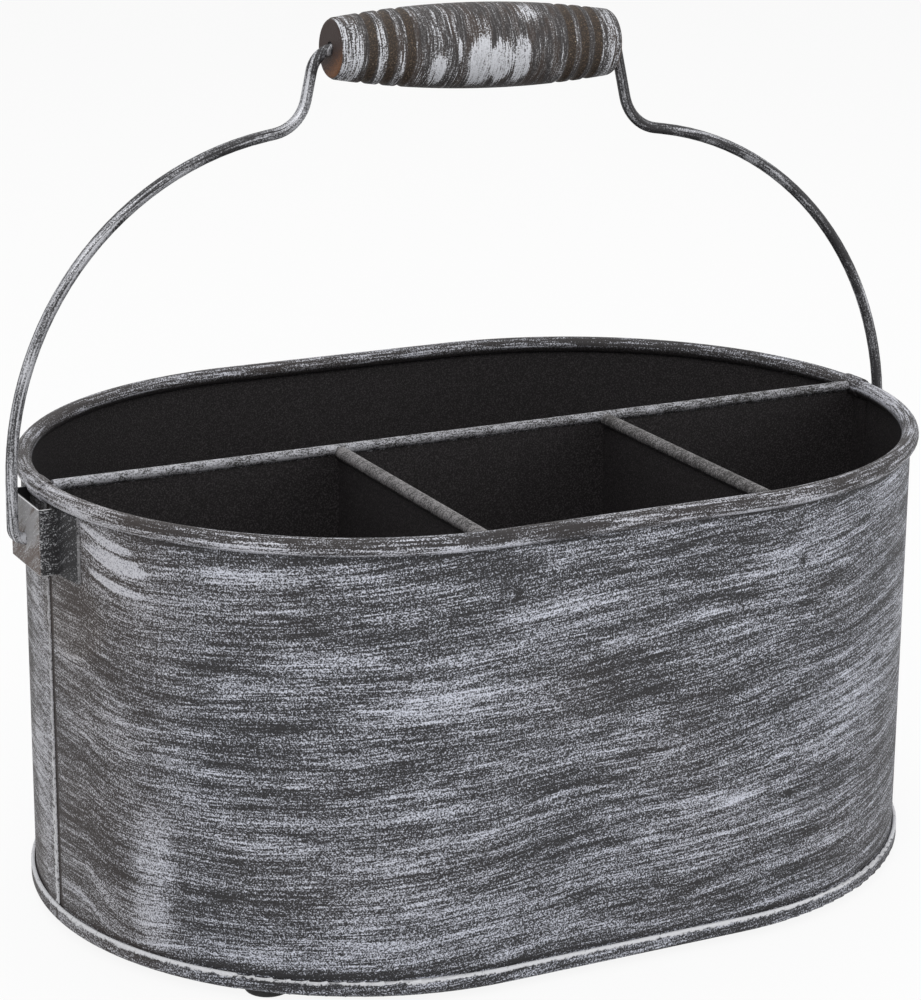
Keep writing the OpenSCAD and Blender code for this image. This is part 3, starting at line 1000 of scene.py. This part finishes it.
@dataclass(frozen=True)
class GripWood:
    """Dark stained turned wood, brushed round with pale paint, rust brown in its grooves."""

    brush: DryBrush = DryBrush(
        patch=(30.0, 14.0),
        stroke=(16.0, 1.7),
        bristle=(12.0, 0.6),
        hair=(7.0, 0.36),
        grain_weight=1.1,
        hair_weight=1.2,
        patch_weight=0.4,
        stroke_weight=0.6,
        load=-0.17,
        press=1.0,
        catch=(0.02, 0.18),
    )
    lustre: Lustre = Lustre(rough=0.66, polish=0.12, sheen=0.2, strength=0.45, depth=0.3)
    middle: Point = (3.571, 11.058, 258.197)
    axis: Point = (0.999391, -0.00286, -0.034782)
    end_face: Span = (47.0, 47.35)
    grooves: tuple[float, ...] = (-37.8, -31.8, -25.8, 28.5, 33.4, 38.3)
    groove_half: Span = (1.1, 1.6)
    wander_cell: Point = (12.0, 12.0, 12.0)
    wander_reach: float = 2.0
    tops_share: float = 0.9
    sunk_weight: float = 0.4
    scratch_pressure: float = 0.6
    scratches: Span = (-0.2, 0.4)
    brown_cell: Point = (16.0, 16.0, 3.0)
    browning: Span = (0.45, 0.62)
    rusting: Span = (0.46, 0.74)
    # Pale golden specks at the grooves' edges, partly rust flecks and partly painted glints
    glint_pressure: float = 0.3
    glint_flecks: Span = (0.64, 0.73)
    rust_fall: tuple[float, float] = (-0.04, -0.07)
    rust_grain: float = 0.8
    end_rusting: Span = (0.0, 0.75)
    paint_tops: Span = (-0.35, 0.15)
    fine_relief: float = 0.3
    stain: Colour = (0.042, 0.038, 0.038)
    brown: Colour = (0.054, 0.042, 0.037)
    groove: Colour = (0.036, 0.028, 0.023)
    rust: Colour = (0.135, 0.098, 0.07)
    # Colour of the rust flecks and painted glints in the grooves
    glint_fleck: Colour = (0.5, 0.44, 0.34)
    scratch: Colour = (0.30, 0.295, 0.30)
    pale: Colour = (0.64, 0.65, 0.69)
    grey: Colour = (0.33, 0.335, 0.355)
    end: Colour = (0.048, 0.034, 0.031)
    end_rust: Colour = (0.23, 0.105, 0.05)
    daubs: tuple[Daub, ...] = (
        Daub((0.8, -2.0, 254.5), (5.6, 16.0, 9.6), 0.42, 0.6),
        Daub((7.8, -2.0, 255.0), (4.4, 16.0, 8.8), 0.42, 0.6),
        Daub((14.6, -2.0, 255.0), (3.8, 16.0, 9.2), 0.42, 0.6),
        Daub((-13.4, -1.0, 252.0), (3.4, 14.0, 7.6), 0.36, 0.5),
        Daub((-6.6, -2.0, 258.5), (0.9, 14.0, 5.0), 0.36, 0.5),
        Daub((18.7, 4.0, 268.0), (5.0, 8.0, 4.5), 0.28),
        Daub((-41.0, 1.5, 259.0), (4.5, 18.0, 22.0), 0.27, 0.6),
        Daub((-31.2, 1.0, 258.0), (1.7, 18.0, 18.0), 0.3, 0.6),
        Daub((-25.4, 1.0, 256.0), (1.5, 18.0, 14.0), 0.16, 0.6),
        Daub((46.5, 0.0, 258.0), (4.5, 18.0, 18.0), 0.24, 0.5),
        Daub((10.4, 24.0, 257.0), (5.2, 16.0, 9.0), 0.42, 0.6),
        Daub((3.2, 24.0, 260.0), (4.2, 16.0, 8.4), 0.4, 0.6),
        Daub((-9.6, 23.0, 262.0), (3.6, 14.0, 7.8), 0.36, 0.5),
        Daub((19.8, 23.0, 260.0), (1.2, 14.0, 6.0), 0.36, 0.5),
        Daub((-40.5, 22.0, 259.0), (4.5, 14.0, 16.0), 0.25, 0.6),
        Daub((36.0, 21.0, 257.0), (1.7, 14.0, 14.0), 0.28, 0.6),
        Daub((46.5, 20.0, 257.0), (4.0, 14.0, 14.0), 0.22, 0.5),
    )

    def make(self) -> bpy.types.Material:
        """Build the finish.

        Returns:
            The material for the grip.
        """
        tree = ShaderTree.named("grip_stained_wood")
        place = tree.place()
        apart = tree.vector("SUBTRACT", place, self.middle)
        reach = tree.vector("DOT_PRODUCT", apart, self.axis, "Value")
        _, across, up = tree.split(apart)
        wander = tree.swing(apart, self.wander_cell, 1.0)
        flow = tree.joined(across, up + reach * -self.axis[2], reach + wander * self.wander_reach)
        pressure = pressed(tree, place, self.daubs, self.brush.pressure(tree, flow))
        grains = self.brush.grains(tree, place)
        tops = self.brush.tops(tree, flow, grains)
        cut = self.cut(reach)
        face = abs(reach).rise(*self.end_face)
        sunk = face.at_least(cut)
        caught = self.brush.caught(tops * self.tops_share, pressure - sunk * self.sunk_weight)

        browned = tree.noise(flow, self.brown_cell, 3.0, 0.6).rise(*self.browning)
        stained = tree.blend(browned, self.stain, self.brown)
        scratched = (tops + pressure * self.scratch_pressure).rise(*self.scratches) * (1.0 - sunk)
        worn = tree.blend(scratched, stained, self.scratch)
        rusted = tree.blend(grains.rise(*self.rusting), self.groove, self.rust)
        # Rust flecks and painted glints at the grooves' edges
        glinted = (grains + pressure * self.glint_pressure).rise(*self.glint_flecks)
        rusted = tree.blend(glinted, rusted, self.glint_fleck)
        low_left = up * self.rust_fall[1] + across * self.rust_fall[0]
        low_left = low_left + (grains - MID_NOISE) * self.rust_grain
        ends = tree.blend(low_left.rise(*self.end_rusting), self.end, self.end_rust)
        wood = tree.blend(face, tree.blend(cut, worn, rusted), ends)
        paint = tree.blend(tops.rise(*self.paint_tops), self.grey, self.pale)
        colour = tree.blend(caught, wood, paint)
        relief = tops + grains * self.fine_relief + caught * self.fine_relief
        return self.lustre.close(tree, colour, caught, relief)

    def cut(self, reach: Signal) -> Signal:
        """Return 1 in the grooves and 0 between them."""
        nearest: Signal | None = None
        for groove in self.grooves:
            gap = abs(reach - groove)
            nearest = gap if nearest is None else nearest.at_most(gap)
        return nearest.fall(*self.groove_half)


@dataclass(frozen=True)
class FootRubber:
    """Matt black rubber, a little dusty."""

    black: Colour = (0.011, 0.011, 0.011)
    dust: Colour = (0.035, 0.034, 0.033)
    dusty: Span = (0.5, 0.75)
    cloud_cell: Point = (4.0, 4.0, 4.0)
    grain_cell: Point = (0.4, 0.4, 0.4)
    rough: float = 0.68
    dust_rough: float = 0.2

    def make(self) -> bpy.types.Material:
        """Build the rubber.

        Returns:
            The material for the feet.
        """
        tree = ShaderTree.named("foot_black_rubber")
        place = tree.place()
        clouds = tree.noise(place, self.cloud_cell, 3.0, 0.6)
        grains = tree.noise(place, self.grain_cell, 1.0)
        return tree.coat(
            Base_Color=tree.blend(clouds.rise(*self.dusty), self.black, self.dust),
            Roughness=self.rough + clouds * self.dust_rough,
            Normal=tree.bump(grains, 0.2, 0.1),
        )


@dataclass(frozen=True)
class RimSteel:
    """Bare drawn wire inside the rolled rim."""

    bright: Colour = (0.48, 0.48, 0.49)
    dull: Colour = (0.32, 0.31, 0.30)
    drawn_cell: Point = (20.0, 20.0, 0.4)
    rough: float = 0.3
    drawn_rough: float = 0.2

    def make(self) -> bpy.types.Material:
        """Build the steel.

        Returns:
            The material for the rim's wire.
        """
        tree = ShaderTree.named("rim_drawn_steel")
        drawn = tree.noise(tree.place(), self.drawn_cell)
        return tree.coat(
            Base_Color=tree.blend(drawn, self.dull, self.bright),
            Roughness=self.rough + drawn * self.drawn_rough,
            Metallic=1.0,
            Normal=tree.bump(drawn, 0.1, 0.05),
        )


def dress(node: bpy.types.Object, finish: bpy.types.Material) -> None:
    """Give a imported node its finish.

    Args:
        node: The node's object.
        finish: The material for all its faces.
    """
    if not node.material_slots:
        node.data.materials.append(finish)
    for slot in node.material_slots:
        slot.material = finish
    LOG.info("%s: %s", node.name, finish.name)


@dataclass
class Tub:
    """The walls, base, rim wire, dividers, ears and feet."""

    shell: tuple[str, ...] = ("front_wall", "back_wall", "base_pan")
    core: tuple[str, ...] = ("rim_wire",)
    ears: tuple[str, ...] = ("ear_left", "ear_right")
    feet: tuple[str, ...] = (
        "foot_front_left",
        "foot_front_right",
        "foot_back_left",
        "foot_back_right",
    )
    dividers: tuple[tuple[str, DividerPaint], ...] = (
        ("long_divider", DividerPaint("long_divider_paint", 0.85, 0.04, Strokes.LENGTHWISE)),
        ("cross_divider_left", DividerPaint("left_divider_paint", 0.12, 0.04)),
        ("cross_divider_right", DividerPaint("right_divider_paint", 0.12, 0.0)),
    )

    def build(self, nodes: Mapping[str, bpy.types.Object]) -> None:
        """Dress the tub's nodes.

        Args:
            nodes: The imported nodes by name.
        """
        finishes = (
            (self.shell, TubPaint().make()),
            (self.core, RimSteel().make()),
            *(((name,), paint.make()) for name, paint in self.dividers),
            (self.ears, EarPaint().make()),
            (self.feet, FootRubber().make()),
        )
        for names, finish in finishes:
            for name in names:
                dress(nodes[name], finish)


@dataclass
class Handle:
    """The wire bail and the grip that turns on it."""

    wire: str = "bail"
    barrel: str = "grip"

    def build(self, nodes: Mapping[str, bpy.types.Object]) -> None:
        """Dress the handle's nodes.

        Args:
            nodes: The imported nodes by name.
        """
        dress(nodes[self.wire], WirePaint().make())
        dress(nodes[self.barrel], GripWood().make())


@dataclass(frozen=True)
class SoftBox:
    """An area lamp that faces the middle of the caddy."""

    name: str
    place: Point
    size: float
    power: float

    def build(self, target: Point) -> None:
        """Hang the lamp.

        Args:
            target: The point that it faces.
        """
        lamp = bpy.data.lights.new(self.name, "AREA")
        lamp.shape = "SQUARE"
        lamp.size = self.size
        lamp.energy = self.power
        holder = bpy.data.objects.new(self.name, lamp)
        bpy.context.scene.collection.objects.link(holder)
        holder.location = self.place
        holder.rotation_euler = (Vector(target) - Vector(self.place)).to_track_quat("-Z", "Y").to_euler()


@dataclass
class Studio:
    """The camera, the floor, the white surround and the lamps."""

    eye: Point = (-0.41973, -0.82331, 0.39015)
    turn: float = math.radians(-26.75)
    dip: float = math.radians(16.49)
    roll: float = math.radians(0.408)
    focal_px: float = 3057.8
    frame_height_px: float = 1000.0
    sensor_mm: float = 36.0
    farthest: float = 50.0
    floor_size: float = 40.0
    floor_white: Colour = (0.86, 0.86, 0.86)
    floor_glow: float = 0.9
    surround: float = 0.45
    target: Point = (0.0, 0.0, 0.12)
    lamps: tuple[SoftBox, ...] = (
        SoftBox("key", (-0.9, -1.3, 1.5), 1.2, 19.0),
        SoftBox("fill", (1.5, -1.0, 0.9), 1.2, 8.5),
        SoftBox("top", (0.1, 0.5, 1.8), 1.4, 11.0),
    )

    def build(self) -> None:
        """Set up the whole studio."""
        self.set_camera()
        self.lay_floor()
        self.fill_surround()
        for lamp in self.lamps:
            lamp.build(self.target)
        bpy.context.scene.view_settings.view_transform = "Standard"

    def set_camera(self) -> None:
        """Put the camera where the photograph was taken from."""
        ahead = Vector((
            -math.sin(self.turn) * math.cos(self.dip),
            math.cos(self.turn) * math.cos(self.dip),
            -math.sin(self.dip),
        ))
        level = Vector((math.cos(self.turn), math.sin(self.turn), 0.0))
        right = level * math.cos(self.roll) + level.cross(ahead) * math.sin(self.roll)
        upward = right.cross(ahead)
        lens = bpy.data.cameras.new("camera")
        lens.sensor_fit = "VERTICAL"
        lens.sensor_height = self.sensor_mm
        lens.lens = self.focal_px * self.sensor_mm / self.frame_height_px
        lens.clip_end = self.farthest
        camera = bpy.data.objects.new("camera", lens)
        bpy.context.scene.collection.objects.link(camera)
        turned = Matrix((right, upward, -ahead)).transposed().to_4x4()
        camera.matrix_world = Matrix.Translation(self.eye) @ turned
        bpy.context.scene.camera = camera

    def lay_floor(self) -> None:
        """Lay a white floor that keeps the caddy's shadow."""
        bpy.ops.object.select_all(action="DESELECT")
        bpy.ops.mesh.primitive_plane_add(size=self.floor_size, location=(0.0, 0.0, 0.0))
        floor = bpy.context.object
        floor.name = "floor"
        tree = ShaderTree.named("floor_white")
        matt = tree.add("ShaderNodeBsdfDiffuse", values={"Color": self.floor_white})
        glow = tree.add("ShaderNodeEmission", values={"Color": WHITE, "Strength": 1.0})
        share = self.seen(tree) * self.floor_glow
        surface = tree.add("ShaderNodeMixShader", values={0: share, 1: matt, 2: glow})
        tree.add("ShaderNodeOutputMaterial", values={"Surface": surface})
        floor.data.materials.append(tree.owner)

    @staticmethod
    def seen(tree: ShaderTree) -> Signal:
        """Return 1 for rays that show the surround itself, straight or mirrored, and 0 for its light."""
        node = tree.add("ShaderNodeLightPath").socket.node
        rays = ("Is Camera Ray", "Is Glossy Ray", "Is Transmission Ray")
        straight, glossy, through = (Signal(tree, node.outputs[ray]) for ray in rays)
        return straight.at_least(glossy).at_least(through)

    def fill_surround(self) -> None:
        """Fill the world with soft white light, seen as plain white."""
        world = bpy.data.worlds.new("surround")
        bpy.context.scene.world = world
        tree = ShaderTree(world)
        strength = self.seen(tree) * (1.0 - self.surround) + self.surround
        light = tree.add("ShaderNodeBackground", values={"Color": WHITE, "Strength": strength})
        tree.add("ShaderNodeOutputWorld", values={"Surface": light})


def main() -> None:
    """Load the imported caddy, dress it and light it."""
    logging.basicConfig(level=logging.INFO, format="%(message)s")
    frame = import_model()
    Tub().build(frame["nodes"])
    Handle().build(frame["nodes"])
    Studio().build()


if __name__ == "__main__":
    main()
